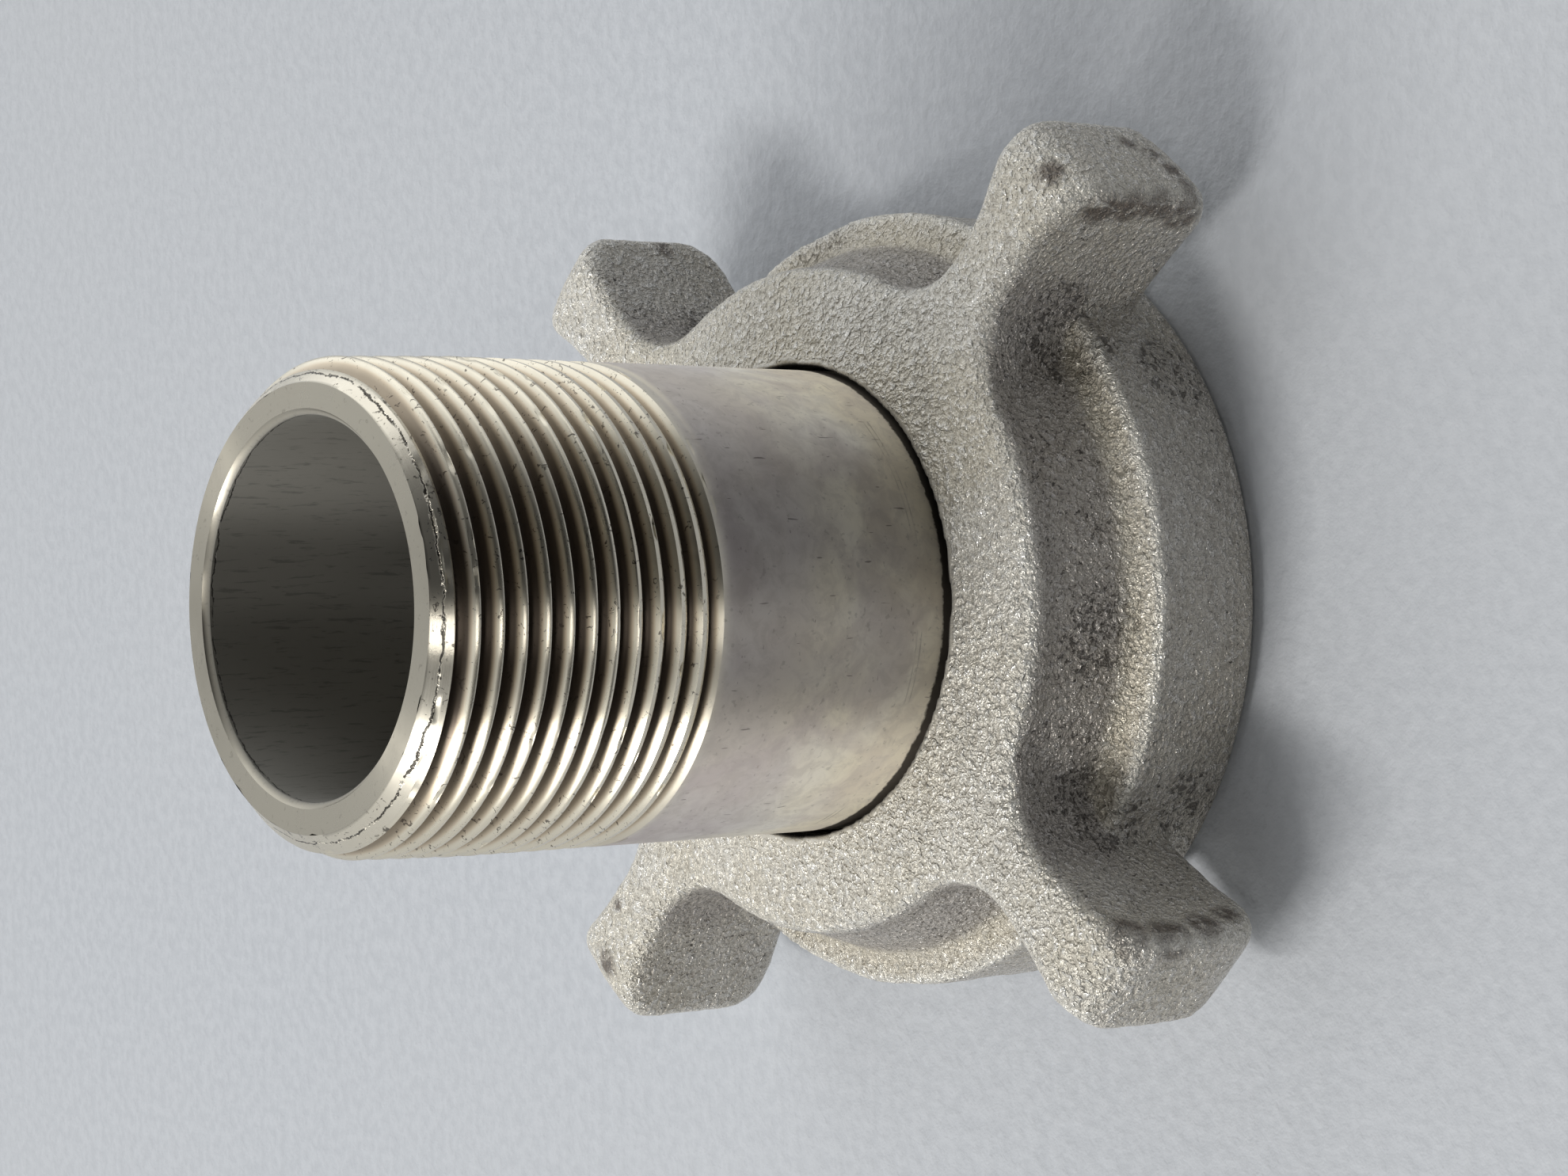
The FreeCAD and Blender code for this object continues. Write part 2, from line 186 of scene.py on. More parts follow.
class Shader:
    """A material under construction, with short calls for the nodes used here."""

    def __init__(self, name):
        self.material = bpy.data.materials.new(name)
        self.material.use_nodes = True
        self.tree = self.material.node_tree
        self.surface = self.tree.nodes["Principled BSDF"]
        self.place = self.node("ShaderNodeTexCoord").outputs["Object"]
        self.base = None

    def node(self, kind, **settings):
        made = self.tree.nodes.new(kind)
        for name, value in settings.items():
            setattr(made, name, value)
        return made

    def plug(self, source, socket):
        """Feed a socket from another node's output, or set it to a plain value."""
        if hasattr(source, "is_output"):
            self.tree.links.new(source, socket)
        else:
            socket.default_value = source

    def math(self, operation, *values, clamp=False):
        made = self.node("ShaderNodeMath", operation=operation, use_clamp=clamp)
        for index, value in enumerate(values):
            self.plug(value, made.inputs[index])
        return made.outputs[0]

    def add(self, first, second, clamp=False):
        return self.math("ADD", first, second, clamp=clamp)

    def less(self, first, second):
        return self.math("SUBTRACT", first, second)

    def times(self, first, second):
        return self.math("MULTIPLY", first, second)

    def most(self, first, second):
        return self.math("MAXIMUM", first, second)

    def size(self, value):
        return self.math("ABSOLUTE", value)

    def noise(self, scale, detail=2.0, rough=0.5, distort=0.0, place=None):
        made = self.node("ShaderNodeTexNoise")
        self.plug(self.place if place is None else place, made.inputs["Vector"])
        made.inputs["Scale"].default_value = scale
        made.inputs["Detail"].default_value = detail
        made.inputs["Roughness"].default_value = rough
        made.inputs["Distortion"].default_value = distort
        return made.outputs["Fac"]

    def band(self, value, low, high, start=0.0, end=1.0):
        """The value between low and high, spread smoothly over start to end."""
        made = self.node("ShaderNodeMapRange", interpolation_type="SMOOTHSTEP")
        for source, name in ((value, "Value"), (low, "From Min"), (high, "From Max")):
            self.plug(source, made.inputs[name])
        made.inputs["To Min"].default_value = start
        made.inputs["To Max"].default_value = end
        return made.outputs["Result"]

    def blend(self, share, first, second):
        """Start the colour as a blend of two."""
        made = self.node("ShaderNodeMix", data_type="RGBA", clamp_factor=True)
        self.plug(share, made.inputs["Factor"])
        self.plug(first, made.inputs["A"])
        self.plug(second, made.inputs["B"])
        self.base = made.outputs["Result"]

    def paint(self, share, color):
        """Lay a colour over what is there, by a share from 0 to 1."""
        self.blend(share, self.base, color)

    def attribute(self, name):
        return self.node("ShaderNodeAttribute", attribute_name=name).outputs["Fac"]

    def split_place(self):
        made = self.node("ShaderNodeSeparateXYZ")
        self.plug(self.place, made.inputs[0])
        return made.outputs

    def stretched(self, x, y, z):
        """The object's place with each axis scaled, for grain that runs one way."""
        made = self.node("ShaderNodeMapping")
        self.plug(self.place, made.inputs["Vector"])
        made.inputs["Scale"].default_value = (x, y, z)
        return made.outputs["Vector"]

    def round_place(self, along_round, along_radius, along_axis):
        """Place by angle, radius and height, each scaled, for marks that run round the axis."""
        x, y, z = self.split_place()
        angle = self.math("ARCTAN2", y, x)
        radius = self.math("SQRT", self.add(self.times(x, x), self.times(y, y)))
        joined = self.node("ShaderNodeCombineXYZ")
        self.plug(self.times(angle, along_round), joined.inputs[0])
        self.plug(self.times(radius, along_radius), joined.inputs[1])
        self.plug(self.times(z, along_axis), joined.inputs[2])
        return joined.outputs[0]

    def bump(self, height, distance, strength=1.0, under=None):
        made = self.node("ShaderNodeBump")
        made.inputs["Strength"].default_value = strength
        made.inputs["Distance"].default_value = distance
        self.plug(height, made.inputs["Height"])
        if under is not None:
            self.plug(under, made.inputs["Normal"])
        return made.outputs["Normal"]

    def finish(self, roughness, metallic, normal):
        self.plug(self.base, self.surface.inputs["Base Color"])
        self.plug(roughness, self.surface.inputs["Roughness"])
        self.plug(metallic, self.surface.inputs["Metallic"])
        self.plug(normal, self.surface.inputs["Normal"])
        return self.material


def cast_material():
    """Shot-blasted casting: light warm grey, fine rough grain, dark pit clusters, painted shade and
    highlights.
    """
    shader = Shader("cast_steel")
    band, noise_at, times = shader.band, shader.noise, shader.times
    pit_zone = shader.attribute("pits")
    turned = shader.attribute("turned")

    grain = noise_at(1700, 2, 0.6, 0.3)
    shader.blend(band(noise_at(70, 4, 0.6), 0.35, 0.65), CAST_WARM, CAST_PALE)
    # the grain's tone, darker in its hollows and lighter on its bumps: partly painted shade and
    # painted glints on the fine relief
    shader.paint(band(grain, 0.32, 0.48, 0.40, 0.0), CAST_GRAIN_DARK_AND_SHADE)
    shader.paint(band(grain, 0.53, 0.64, 0.0, 0.60), CAST_GRAIN_LIGHT_AND_GLINT)

    # pits: fine specks everywhere, more of them in clusters, and deep holes where they are coarse
    clusters = noise_at(330, 4, 0.65)
    clustered = times(times(pit_zone, band(clusters, 0.42, 0.60)), 0.6)
    coarse_spot = times(shader.attribute("coarse"), band(clusters, 0.30, 0.46))
    level = shader.most(clustered, coarse_spot)
    limit = shader.add(shader.add(0.29, times(pit_zone, 0.08)), times(level, 0.07))
    specks = band(shader.less(limit, noise_at(2500, 3, 0.6, 0.5)), -0.01, 0.05)
    holes = times(band(level, 0.5, 0.9), band(noise_at(1150, 2, 0.5, 0.8), 0.44, 0.37, 0.0, 0.8))
    pits = shader.most(specks, holes)
    # painted shade: the upright walls darker, most in the recesses between the lugs
    shader.paint(times(shader.attribute("dark"), 0.60), CAST_PAINTED_SHADE)
    shader.paint(times(level, 0.14), CAST_CLUSTER)
    # the pits painted near black: painted shade inside them, and painted shade on the upright walls
    # where they are denser
    shader.paint(times(pits, 0.85), CAST_PIT_AND_SHADE)

    blotch = times(shader.attribute("stain"), band(noise_at(520, 4, 0.7, 0.6), 0.68, 0.50))
    shader.paint(times(shader.attribute("ledge"), 0.5), CAST_LEDGE)
    shader.paint(times(blotch, 0.85), CAST_STAIN)
    # painted highlight along the rounded edges, with some burnished wear
    shader.paint(times(shader.attribute("edge"), 0.40), CAST_EDGE_HIGHLIGHT_AND_WEAR)
    shader.paint(times(turned, 0.65), CAST_TURNED)
    # painted shade: the hole's wall black near the nut's top, for the shade in the narrow gap round
    # the stem
    shader.paint(band(shader.attribute("hole"), 0.2, 0.8, 0.0, 0.92), HOLE_SHADE_BLACK)

    rough = shader.add(band(grain, 0.35, 0.65, 0.46, 0.20), times(pits, 0.3), clamp=True)
    skin = band(turned, 0.0, 1.0, 1.0, 0.12)
    lumps = shader.less(noise_at(620, 3, 0.6), 0.5)
    fine = shader.less(grain, 0.5)
    worms = shader.size(shader.less(noise_at(1300, 2, 0.5, 1.0), 0.5))
    normal = shader.bump(times(lumps, skin), 0.30 * MM, 0.7)
    normal = shader.bump(times(fine, skin), 0.90 * MM, 1.0, normal)
    normal = shader.bump(times(worms, skin), 0.40 * MM, 0.7, normal)
    normal = shader.bump(shader.less(1.0, pits), 0.35 * MM, 0.9, normal)
    return shader.finish(rough, CAST_METALLIC, normal)


def steel_material():
    """Turned steel: satin, marks that run round it, straw and purplish heat stains, some painted
    shade.
    """
    shader = Shader("turned_steel")
    band, noise_at, times = shader.band, shader.noise, shader.times
    groove = shader.attribute("groove")
    bore = shader.attribute("bore")
    plain = shader.attribute("plain")
    outside = band(bore, 0.0, 0.1, 1.0, 0.0)
    across, _, height = shader.split_place()

    stains = noise_at(70, 3, 0.55)
    clouds = noise_at(130, 4, 0.6, 0.5)
    mottle = noise_at(520, 4, 0.7, 0.6)
    heat = shader.add(height, times(stains, 16 * MM))
    shader.blend(band(stains, 0.34, 0.66), STEEL_WARM, STEEL_PALE)
    shader.paint(band(clouds, 0.42, 0.64, 0.0, 0.5), STEEL_CLOUD)
    shader.paint(band(heat, 40 * MM, 50 * MM, 0.0, 0.50), STEEL_PURPLE)
    shader.paint(band(heat, 42 * MM, 34 * MM, 0.0, 0.45), STEEL_STRAW)
    shader.paint(band(noise_at(1500, 2, 0.6), 0.30, 0.37, 0.30, 0.0), STEEL_SPECK)
    shader.paint(band(mottle, 0.36, 0.60, 0.30, 0.0), STEEL_MOTTLE)

    scratches = noise_at(1.0, 1, 0.5, 0.0, shader.stretched(3100.0, 3100.0, 420.0))
    cross = noise_at(1.0, 1, 0.5, 0.0, shader.round_place(22.0, 0.0, 4600.0))
    marks = shader.most(band(scratches, 0.255, 0.225), band(cross, 0.25, 0.22))
    shader.paint(times(marks, 0.6), SCRATCH)
    shader.paint(band(plain, 0.1, 0.9, 0.8, 0.0), THREAD_PALE)

    worn = band(clouds, 0.35, 0.55, 0.6, 0.0)
    for line in TURNED_LINES:
        away = shader.size(shader.less(height, line))
        shader.paint(times(band(away, 0.10 * MM, 0.03 * MM), worn), TURNED_LINE)

    # painted shade: a ragged black ring where the stem goes into the nut's top, for the shade in
    # the gap there
    ragged = shader.add(height, times(noise_at(700, 3, 0.7), 0.9 * MM))
    gap_shade = times(band(ragged, NUT_TOP + 0.75 * MM, NUT_TOP + 0.45 * MM),
                  band(ragged, NUT_TOP - 2.6 * MM, NUT_TOP - 0.9 * MM))
    shader.paint(times(times(gap_shade, outside), 0.93), GAP_SHADE_BLACK)

    # the thread: bright crests with nicks, rusty flanks, and dark roots of dirt and painted shade
    threaded = times(band(plain, 0.5, 0.0), outside)
    nicks = times(band(noise_at(1300, 3, 0.7, 1.2), 0.385, 0.34), threaded)
    # painted shade and dark reflection: the roots darkest where the thread faces the front and the
    # back, paler on the sides
    dirt_and_shade_share = band(shader.size(across), 8 * MM, 18 * MM, 0.92, 0.50)
    shader.paint(band(groove, 0.0, 0.04, 0.0, 0.6), CREST_PALE)
    shader.paint(band(groove, 0.16, 0.34, 0.0, 0.65), GROOVE_RUST)
    shader.paint(times(nicks, 0.8), NICK_BROWN)
    shader.paint(times(band(groove, 0.24, 0.50), dirt_and_shade_share), GROOVE_DIRT_AND_SHADE)

    streaks = noise_at(1.0, 3, 0.7, 0.4, shader.stretched(2800.0, 2800.0, 300.0))
    drawn = times(bore, band(streaks, 0.45, 0.33))
    shader.paint(times(bore, 0.8), BORE_GREY)
    shader.paint(times(drawn, 0.40), BORE_STREAK)
    shader.paint(times(shader.attribute("end"), 0.85), END_FACE_GREY)

    # an irregular burr line round the end chamfer
    ripple = shader.add(height, times(noise_at(480, 4, 0.75), 0.9 * MM))
    from_line = shader.size(shader.less(ripple, STEM_TOP - 0.30 * MM))
    burr = times(band(from_line, 0.09 * MM, 0.03 * MM), band(mottle, 0.62, 0.50))
    shader.paint(times(burr, 0.92), BURR_BLACK)

    rough = shader.add(band(clouds, 0.3, 0.7, 0.24, 0.32), times(plain, 0.28))
    rough = shader.add(rough, times(groove, 0.14))
    rough = shader.add(rough, times(bore, 0.30), clamp=True)
    lines = noise_at(1.0, 4, 0.7, 0.0, shader.round_place(3.0, 2600.0, 5200.0))
    normal = shader.bump(lines, 0.012 * MM, 0.6)
    normal = shader.bump(clouds, 0.05 * MM, 0.3, normal)
    normal = shader.bump(shader.less(1.0, burr), 0.15 * MM, 0.8, normal)

    # turning marks spread the sheen along the axis
    shader.surface.inputs["Anisotropic"].default_value = 0.9
    shader.surface.inputs["Anisotropic Rotation"].default_value = 0.25
    around = shader.node("ShaderNodeTangent", direction_type="RADIAL", axis="Z")
    shader.plug(around.outputs["Tangent"], shader.surface.inputs["Tangent"])
    return shader.finish(rough, band(bore, 0.0, 1.0, 1.0, BORE_METALLIC), normal)


def rubber_material():
    """Dull black rubber with a fine moulded grain."""
    shader = Shader("black_rubber")
    dust = shader.noise(240, 4, 0.6)
    grain = shader.noise(2400, 2, 0.5)
    shader.blend(shader.band(dust, 0.4, 0.7, 0.0, 0.6), RUBBER_BLACK, RUBBER_DUST)
    return shader.finish(shader.band(dust, 0.3, 0.7, 0.62, 0.8), 0.0,
                         shader.bump(grain, 0.05 * MM, 0.4))


def floor_material():
    """A pale bench top with a faint grey-blue mottle."""
    shader = Shader("pale_bench")
    mottle = shader.noise(620, 3, 0.6)
    broad = shader.noise(6, 2, 0.5)
    shader.blend(shader.band(mottle, 0.35, 0.65), BENCH_DARK, BENCH_LIGHT)
    shader.paint(shader.band(broad, 0.35, 0.65, 0.0, 0.35), BENCH_WARM)
    return shader.finish(BENCH_ROUGHNESS, 0.0, shader.bump(mottle, 0.45 * MM, 0.5))


def smoothstep(low, high, value):
    share = min(max((value - low) / (high - low), 0.0), 1.0)
    return share * share * (3 - 2 * share)


def blank_radius(height):
    """The stem's outside before its thread was cut, above the collar."""
    cone = CREST_RADIUS + (STEM_TOP - height) * TAPER
    chamfer = END_FACE_RADIUS + (STEM_TOP - height)
    return min(PIPE_RADIUS, cone, chamfer)


def round_width():
    """How wide a crest's rounded upper side is, along the axis."""
    return CREST_ROUND * (math.sin(FLANK) - math.sin(CREST_LEAN))


def thread_drop(offset):
    """How far the thread's outline lies below its crest, at a height from a groove's middle.

    A crest's upper side is rounded and its lower side is sharp, as the die left it.
    """
    from_edge = PITCH / 2 - CREST_FLAT - abs(offset)
    if offset >= 0:
        start, width = 0.0, 0.0
    elif from_edge <= round_width():
        lean = math.asin(min(math.sin(CREST_LEAN) + max(from_edge, 0) / CREST_ROUND, 1.0))
        return CREST_ROUND * (math.cos(CREST_LEAN) - math.cos(lean))
    else:
        start = CREST_ROUND * (math.cos(CREST_LEAN) - math.cos(FLANK))
        width = round_width()
    drop = start + max(from_edge - width, 0.0) * math.tan(FLANK)
    return min(drop, THREAD_DEPTH)


def thread_offsets():
    """Heights, within a turn, where the outline has a point, from a groove's middle."""
    edge = PITCH / 2 - CREST_FLAT
    leans = [CREST_LEAN + (FLANK - CREST_LEAN) * share for share in (0.0, 0.3, 0.6, 0.85, 1.0)]
    rounded = [CREST_ROUND * (math.sin(lean) - math.sin(CREST_LEAN)) - edge for lean in leans]
    upper_flank = [rounded[-1] * share for share in (0.7, 0.4, 0.15)]
    lower_flank = [edge * share for share in (0.15, 0.4, 0.7, 1.0)]
    return rounded + upper_flank + lower_flank + [PITCH / 2]


OFFSETS = thread_offsets()


def threaded_point(angle, turn, offset):
    """A point of the threaded wall, and how deep in a groove it lies, from 0 to 1."""
    wound = turn + angle / math.tau
    height = min(max(THREAD_START + PITCH * wound + offset, THREAD_FOOT), STEM_TOP)
    blank = blank_radius(height)
    crest = CREST_RADIUS + (STEM_TOP - height) * TAPER
    cut = min(blank, crest - thread_drop(offset))
    radius = blank - (blank - cut) * smoothstep(0.0, FADE_TURNS, wound + FADE_SHIFT)
    if abs(offset) > PITCH / 2 - NICK_REACH:
        around = Vector((math.cos(angle) * NICKS_ROUND, math.sin(angle) * NICKS_ROUND,
                         wound * NICKS_ALONG))
        radius -= smoothstep(0.40, 0.60, noise.noise(around)) * NICK_DEPTH
    depth = (blank - radius) / THREAD_DEPTH
    return height, radius, min(max(depth, 0.0), 1.0)


def ring_row(height, radius):
    """A plain row of (height, radius, groove), one for each column."""
    return [(height, radius, 0.0)] * STEM_COLUMNS


def stem_rows():
    """Rows of (height, radius, groove), down the outside, round the collar and up the bore.

    The threaded rows come first. The count of them is given too.
    """
    angles = [math.tau * column / STEM_COLUMNS for column in range(STEM_COLUMNS)]
    rows = [[threaded_point(angle, turn, offset) for angle in angles]
            for turn in range(THREAD_TURNS, -2, -1) for offset in reversed(OFFSETS)]
    threaded = len(rows)

    rows.append(ring_row(THREAD_FOOT, PIPE_RADIUS))
    wall_foot = COLLAR_BACK + COLLAR_ROOT
    for step in range(1, WALL_STEPS + 1):
        height = THREAD_FOOT + (wall_foot - THREAD_FOOT) * step / WALL_STEPS
        rows.append(ring_row(height, PIPE_RADIUS))
    for step in range(1, ROOT_STEPS + 1):
        angle = math.pi / 2 * step / ROOT_STEPS
        rows.append(ring_row(wall_foot - COLLAR_ROOT * math.sin(angle),
                             PIPE_RADIUS + COLLAR_ROOT * (1 - math.cos(angle))))

    recess_top = COLLAR_FACE + RECESS_DEPTH
    corners = [
        (COLLAR_BACK, COLLAR_RADIUS - COLLAR_CHAMFER),
        (COLLAR_BACK - COLLAR_CHAMFER, COLLAR_RADIUS),
        (COLLAR_FACE, COLLAR_RADIUS),
        (COLLAR_FACE, RECESS_OUTER),
        (recess_top, RECESS_OUTER),
        (recess_top, RECESS_INNER),
        (COLLAR_FACE, RECESS_INNER),
        (COLLAR_FACE, BORE_RADIUS),
    ]
    rows += [ring_row(height, radius) for height, radius in corners]

    bore_top = STEM_TOP - BORE_CHAMFER
    for step in range(1, WALL_STEPS + 1):
        height = COLLAR_FACE + (bore_top - COLLAR_FACE) * step / WALL_STEPS
        rows.append(ring_row(height, BORE_RADIUS))
    rows.append(ring_row(STEM_TOP, BORE_RADIUS + BORE_CHAMFER))
    return rows, threaded


def stem_mesh():
    """One closed skin: threaded wall, plain wall, collar, gasket recess, bore and end face."""
    rows, threaded = stem_rows()
    made = bmesh.new()
    layers = {name: made.verts.layers.float.new(name)
              for name in ("groove", "bore", "plain", "end")}
    grid = []
    for row in rows:
        line = []
        for column, (height, radius, groove) in enumerate(row):
            angle = math.tau * column / STEM_COLUMNS
            vert = made.verts.new((radius * math.cos(angle), radius * math.sin(angle), height))
            vert[layers["groove"]] = groove
            vert[layers["bore"]] = 1.0 if radius < BORE_RADIUS + 0.1 * MM else 0.0
            vert[layers["plain"]] = 1 - smoothstep(THREAD_FOOT, THREAD_FOOT + PLAIN_FADE, height)
            vert[layers["end"]] = 1.0 if height > STEM_TOP - 0.01 * MM else 0.0
            line.append(vert)
        grid.append(line)

    # the last column meets the first one turn higher on the thread, and level elsewhere
    last = STEM_COLUMNS - 1
    for i, upper in enumerate(grid):
        lower = grid[(i + 1) % len(grid)]
        for j in range(last):
            made.faces.new((upper[j], lower[j], lower[j + 1], upper[j + 1]))
        above, below = upper[0], lower[0]
        if i < threaded:
            if i + 1 <= len(OFFSETS):
                continue
            above = grid[i - len(OFFSETS)][0]
            below = grid[i + 1 - len(OFFSETS)][0]
        made.faces.new((upper[last], lower[last], below, above))
    bmesh.ops.remove_doubles(made, verts=made.verts[:], dist=0.002 * MM)
    bmesh.ops.dissolve_degenerate(made, edges=made.edges[:], dist=0.001 * MM)
    bmesh.ops.recalc_face_normals(made, faces=made.faces[:])
    mesh = bpy.data.meshes.new("stem_turned")
    made.to_mesh(mesh)
    made.free()
    return mesh


def remeshed(node):
    """A copy of a node's mesh, rebuilt in small even faces."""
    copy = bpy.data.objects.new(node + "_copy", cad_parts[node].data.copy())
    bpy.context.scene.collection.objects.link(copy)
    remesh = copy.modifiers.new("remesh", "REMESH")
    remesh.mode = "VOXEL"
    remesh.voxel_size = VOXEL
    remesh.use_smooth_shade = True
    smooth = copy.modifiers.new("smooth", "SMOOTH")
    smooth.factor = SMOOTH_SHARE
    smooth.iterations = SMOOTH_PASSES
    depsgraph = bpy.context.evaluated_depsgraph_get()
    mesh = bpy.data.meshes.new_from_object(copy.evaluated_get(depsgraph))
    bpy.data.objects.remove(copy)
    return mesh


def nearness(place, spots):
    """One at the middle of the nearest of some round spots, and nothing outside them."""
    most = 0.0
    for middle, radius in spots:
        away = (place - Vector(middle)).length
        if away < radius:
            most = max(most, 1 - smoothstep(0.45 * radius, radius, away))
    return most


def casting_marks(place, normal):
    """How strongly each kind of mark, painted shade among them, shows on the casting at a place in
    mm, from 0 to 1.
    """
    from_axis = math.hypot(place.x, place.y)
    inside = from_axis < 30.0 and normal.to_2d().dot(place.to_2d()) < 0
    turned = 1.0 if inside or place.z < 0.3 else 0.0
    as_cast = 1 - turned
    upright = 1 - smoothstep(0.25, 0.75, abs(normal.z))
    hub = smoothstep(12.6, 13.4, place.z)
    recess = hub * (1 - smoothstep(37.0, 42.0, from_axis))
    lug_end = smoothstep(44.0, 48.0, from_axis)
    ring = (1 - hub) * (1 - smoothstep(36.5, 38.0, from_axis))
    below = 1 - smoothstep(14.5, 17.0, place.z)
    by_top = smoothstep(NUT_TOP / MM - 3.0, NUT_TOP / MM - 1.4, place.z)
    # painted shade, in part: more pits on the upright walls and in the recesses darken them
    pits = upright * (0.80 + 0.20 * recess - 0.40 * lug_end - 0.30 * ring)
    # painted shade: upright walls darker, most in the recesses between the lugs
    dark = upright * (0.50 + 0.50 * recess - 0.15 * lug_end + 0.05 * ring)
    # painted shade: the hole's wall dark, darkest near the top, for the shade in the gap round the
    # stem
    in_hole = smoothstep(-0.6, 0.2, STEM_HOLE / MM - from_axis)
    return {
        "pits": (pits + (1 - upright) * 0.45 * recess * below) * as_cast,
        "dark": dark * as_cast,
        "ledge": (1 - upright) * hub * below * as_cast,
        "stain": nearness(place, STAINS) if from_axis > 38.0 else 0.0,
        "coarse": nearness(place, COARSE) * as_cast if from_axis > 28.0 else 0.0,
        "hole": in_hole * (0.25 + 0.75 * by_top),
        "turned": turned,
    }


def skin_lift(place):
    """How far the as-cast skin swells or sinks at a place in mm."""
    wide = noise.noise(place * 0.16)
    middle = noise.noise(place * 0.45 + Vector((7, 1, 3)))
    small = noise.noise(place * 1.1)
    return (0.20 * wide + 0.07 * middle + 0.06 * small) * MM


def bulge(vert):
    """How far a vertex stands out from its neighbours, as a share of their spacing."""
    near = [edge.other_vert(vert).co for edge in vert.link_edges]
    centre = sum(near, Vector()) / max(len(near), 1)
    return (vert.co - centre).dot(vert.normal) / VOXEL


def nut_mesh():
    """The casting: even faces, a slightly wavy as-cast skin, plain where it was turned."""
    mesh = remeshed("nut")
    low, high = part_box("nut")
    made = bmesh.new()
    made.from_mesh(mesh)
    made.normal_update()
    layers = {name: made.verts.layers.float.new(name) for name in CAST_LAYERS}
    moved = []
    for vert in made.verts:
        place = vert.co / MM
        marks = casting_marks(place, vert.normal)
        # painted highlight on the rounded edges, with some burnished wear
        marks["edge"] = smoothstep(0.02, 0.10, bulge(vert))
        for name, layer in layers.items():
            vert[layer] = marks[name]
        moved.append(vert.co + vert.normal * skin_lift(place) * (1 - marks["turned"]))
    for vert, co in zip(made.verts, moved):
        from_axis = co.to_2d().length
        widest = RING_RADIUS - RING_FOOT + max(co.z, 0.0)
        if from_axis > widest and co.z < RING_FOOT:
            co.xy = co.to_2d() * (widest / from_axis)
        for axis in range(3):
            co[axis] = min(max(co[axis], low[axis]), high[axis])
        vert.co = co
    made.to_mesh(mesh)
    made.free()
    return mesh


def new_object(name, data):
    made = bpy.data.objects.new(name, data)
    bpy.context.scene.collection.objects.link(made)
    return made


def new_piece(name, mesh, material, body):
    """A smooth-shaded piece that rides on a body of the frame."""
    for polygon in mesh.polygons:
        polygon.use_smooth = True
    mesh.materials.clear()
    mesh.materials.append(material)
    piece = new_object(name, mesh)
    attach(piece, body)
    return piece


def make_stem():
    piece = new_piece("stem_turned", stem_mesh(), steel_material(), "stem")
    piece.data.set_sharp_from_angle(angle=STEM_SHARP)
    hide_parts("stem")


def make_nut():
    piece = new_piece("nut_casting", nut_mesh(), cast_material(), "nut")
    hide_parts("nut")


def dress_gasket():
    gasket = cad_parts["gasket"]
    gasket.data.materials.clear()
    gasket.data.materials.append(rubber_material())


def make_floor():
    half = BENCH_HALF
    corners = [(-half, -half, 0), (half, -half, 0), (half, half, 0), (-half, half, 0)]
    mesh = bpy.data.meshes.new("bench")
    mesh.from_pydata(corners, [], [(0, 1, 2, 3)])
    mesh.materials.append(floor_material())
    floor = new_object("bench", mesh)


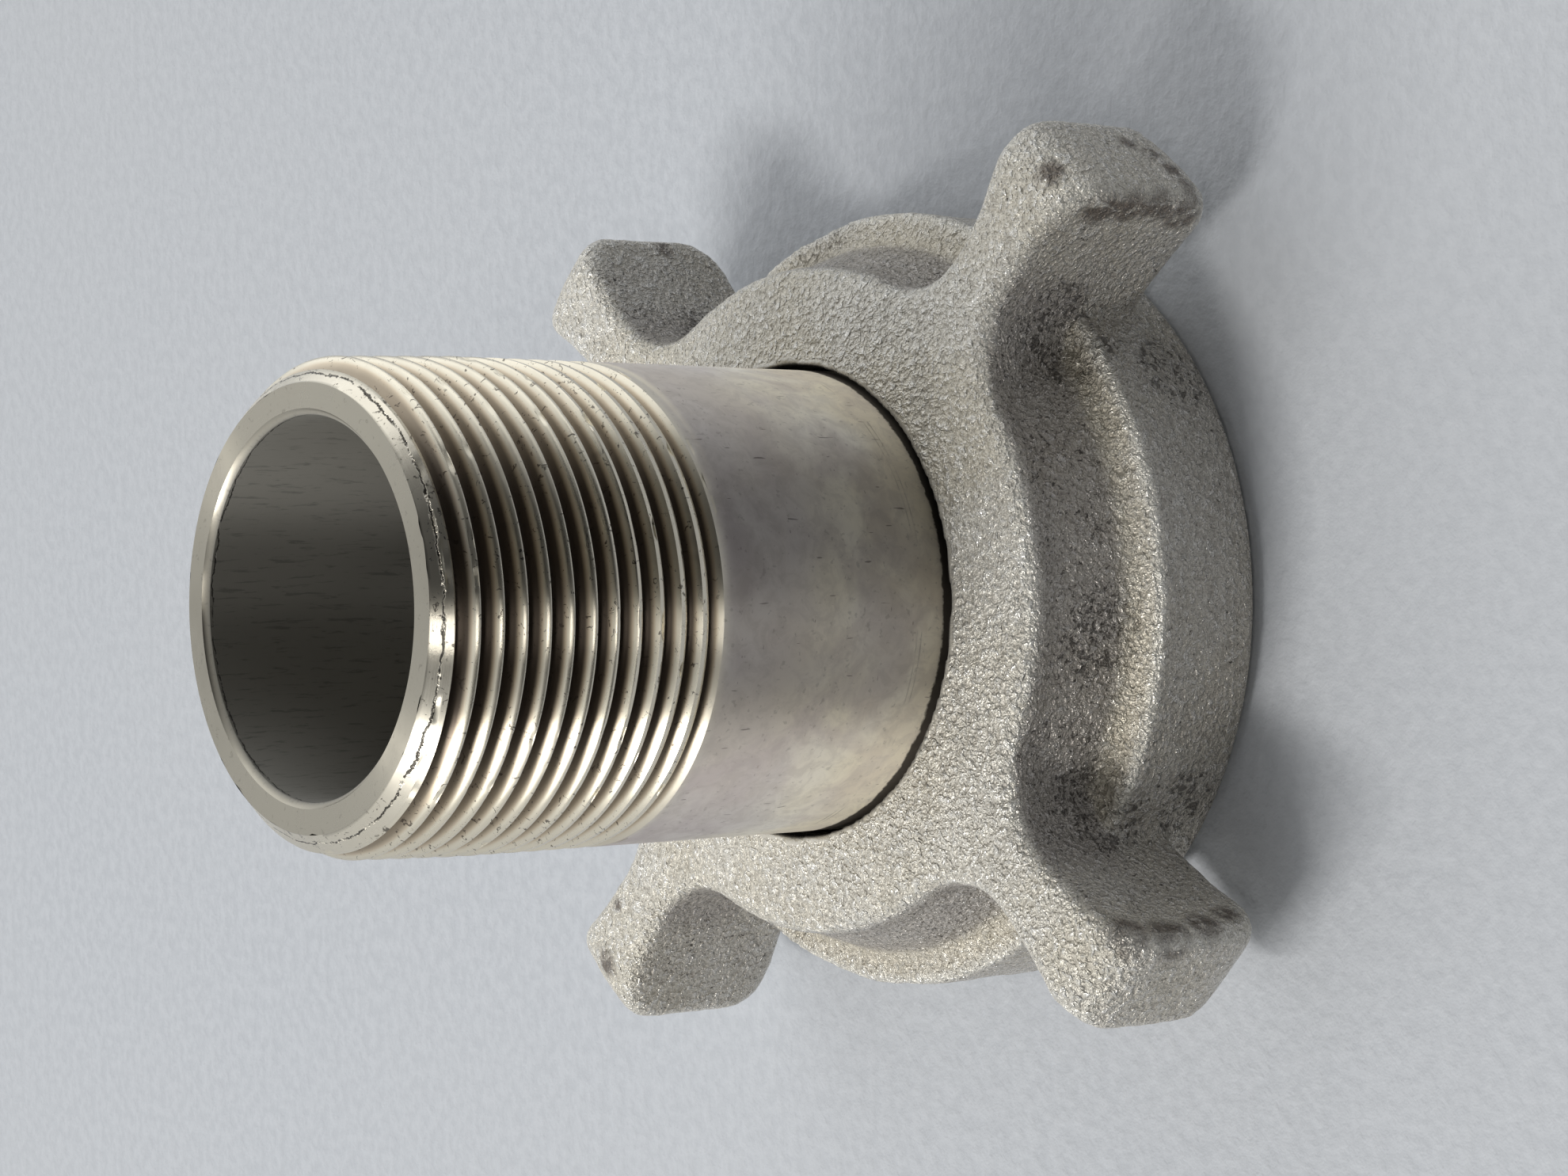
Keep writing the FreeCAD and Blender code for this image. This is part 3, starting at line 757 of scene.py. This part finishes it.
def make_world():
    """A plain room, as the photograph's light shows it.

    Pale walls that darken towards the front, and a ceiling that is pale on the -X side and dark
    on the other, apart from its far end.
    """
    world = bpy.data.worlds.new("room")
    bpy.context.scene.world = world
    world.use_nodes = True
    tree = world.node_tree
    background = tree.nodes["Background"]
    way = tree.nodes.new("ShaderNodeTexCoord").outputs["Generated"]

    def slope(axis, start, end):
        """Strength that changes smoothly along an axis, between two (place, strength) ends."""
        split = tree.nodes.new("ShaderNodeSeparateXYZ")
        spread = tree.nodes.new("ShaderNodeMapRange")
        spread.interpolation_type = "SMOOTHSTEP"
        tree.links.new(way, split.inputs[0])
        tree.links.new(split.outputs[axis], spread.inputs["Value"])
        for side, (place, strength) in (("Min", start), ("Max", end)):
            spread.inputs["From " + side].default_value = place
            spread.inputs["To " + side].default_value = strength
        return spread.outputs["Result"]

    def joined(operation, first, *others):
        result = first
        for other in others:
            made = tree.nodes.new("ShaderNodeMath")
            made.operation = operation
            tree.links.new(result, made.inputs[0])
            tree.links.new(other, made.inputs[1])
            result = made.outputs[0]
        return result

    x_axis, y_axis, z_axis = range(3)
    walls = joined("MULTIPLY", slope(y_axis, (-0.75, 0.03), (0.20, 0.70)),
                   slope(x_axis, (-0.3, 0.95), (0.6, 2.0)))
    unshaded = joined("MAXIMUM", slope(x_axis, (-0.14, 1.0), (0.04, 0.0)),
                      slope(z_axis, (0.48, 1.0), (0.68, 0.04)),
                      slope(y_axis, (0.00, 0.0), (0.32, 0.85)))
    ceiling = joined("MULTIPLY", slope(x_axis, (-0.14, 0.90), (-0.02, 0.0)),
                     slope(z_axis, (0.45, 0.0), (0.60, 1.0)),
                     slope(y_axis, (-0.52, 0.0), (-0.22, 1.0)))
    strength = joined("MAXIMUM", joined("MULTIPLY", walls, unshaded), ceiling)
    tree.links.new(strength, background.inputs["Strength"])
    background.inputs["Color"].default_value = ROOM_COLOR


def add_area(name, place, size, power):
    """A rectangular lamp that looks at the middle of the bench."""
    light = bpy.data.lights.new(name, "AREA")
    light.shape = "RECTANGLE"
    light.size, light.size_y = size
    light.energy = power
    light.color = LAMP_COLOR
    lamp = new_object(name, light)
    lamp.location = place
    lamp.rotation_euler = (-Vector(place)).to_track_quat("-Z", "Y").to_euler()


def make_lights():
    """A strip overhead on the -X side, which casts the shadows, and a fainter panel in front."""
    add_area("strip", (-0.64, 0.15, 1.00), (0.66, 0.12), 8.2)
    add_area("front", (-0.20, -0.80, 0.98), (0.26, 0.20), 1.4)


def make_camera():
    """The photograph is on its side: the object's up is to the picture's left."""
    back = Vector((0, -math.cos(CAMERA_ELEVATION), math.sin(CAMERA_ELEVATION)))
    right = Vector((1, 0, 0))
    up = right.cross(-back)
    picture_up = right * math.cos(CAMERA_ROLL) - up * math.sin(CAMERA_ROLL)
    picture_right = -(right * math.sin(CAMERA_ROLL) + up * math.cos(CAMERA_ROLL))
    data = bpy.data.cameras.new("camera")
    data.sensor_width = SENSOR_WIDTH
    data.sensor_fit = "HORIZONTAL"
    data.lens = SENSOR_WIDTH * FOCAL_PIXELS / IMAGE_WIDTH
    data.clip_start = CLIP_NEAR
    data.clip_end = CLIP_FAR
    camera = new_object("camera", data)
    turn = Matrix((picture_right, picture_up, back)).transposed()
    camera.matrix_world = Matrix.Translation(CAMERA_TARGET + back * CAMERA_DISTANCE) @ turn.to_4x4()
    bpy.context.scene.camera = camera


bpy.context.scene.view_settings.view_transform = "Standard"
make_camera()
make_world()
make_lights()
make_floor()
make_stem()
make_nut()
dress_gasket()
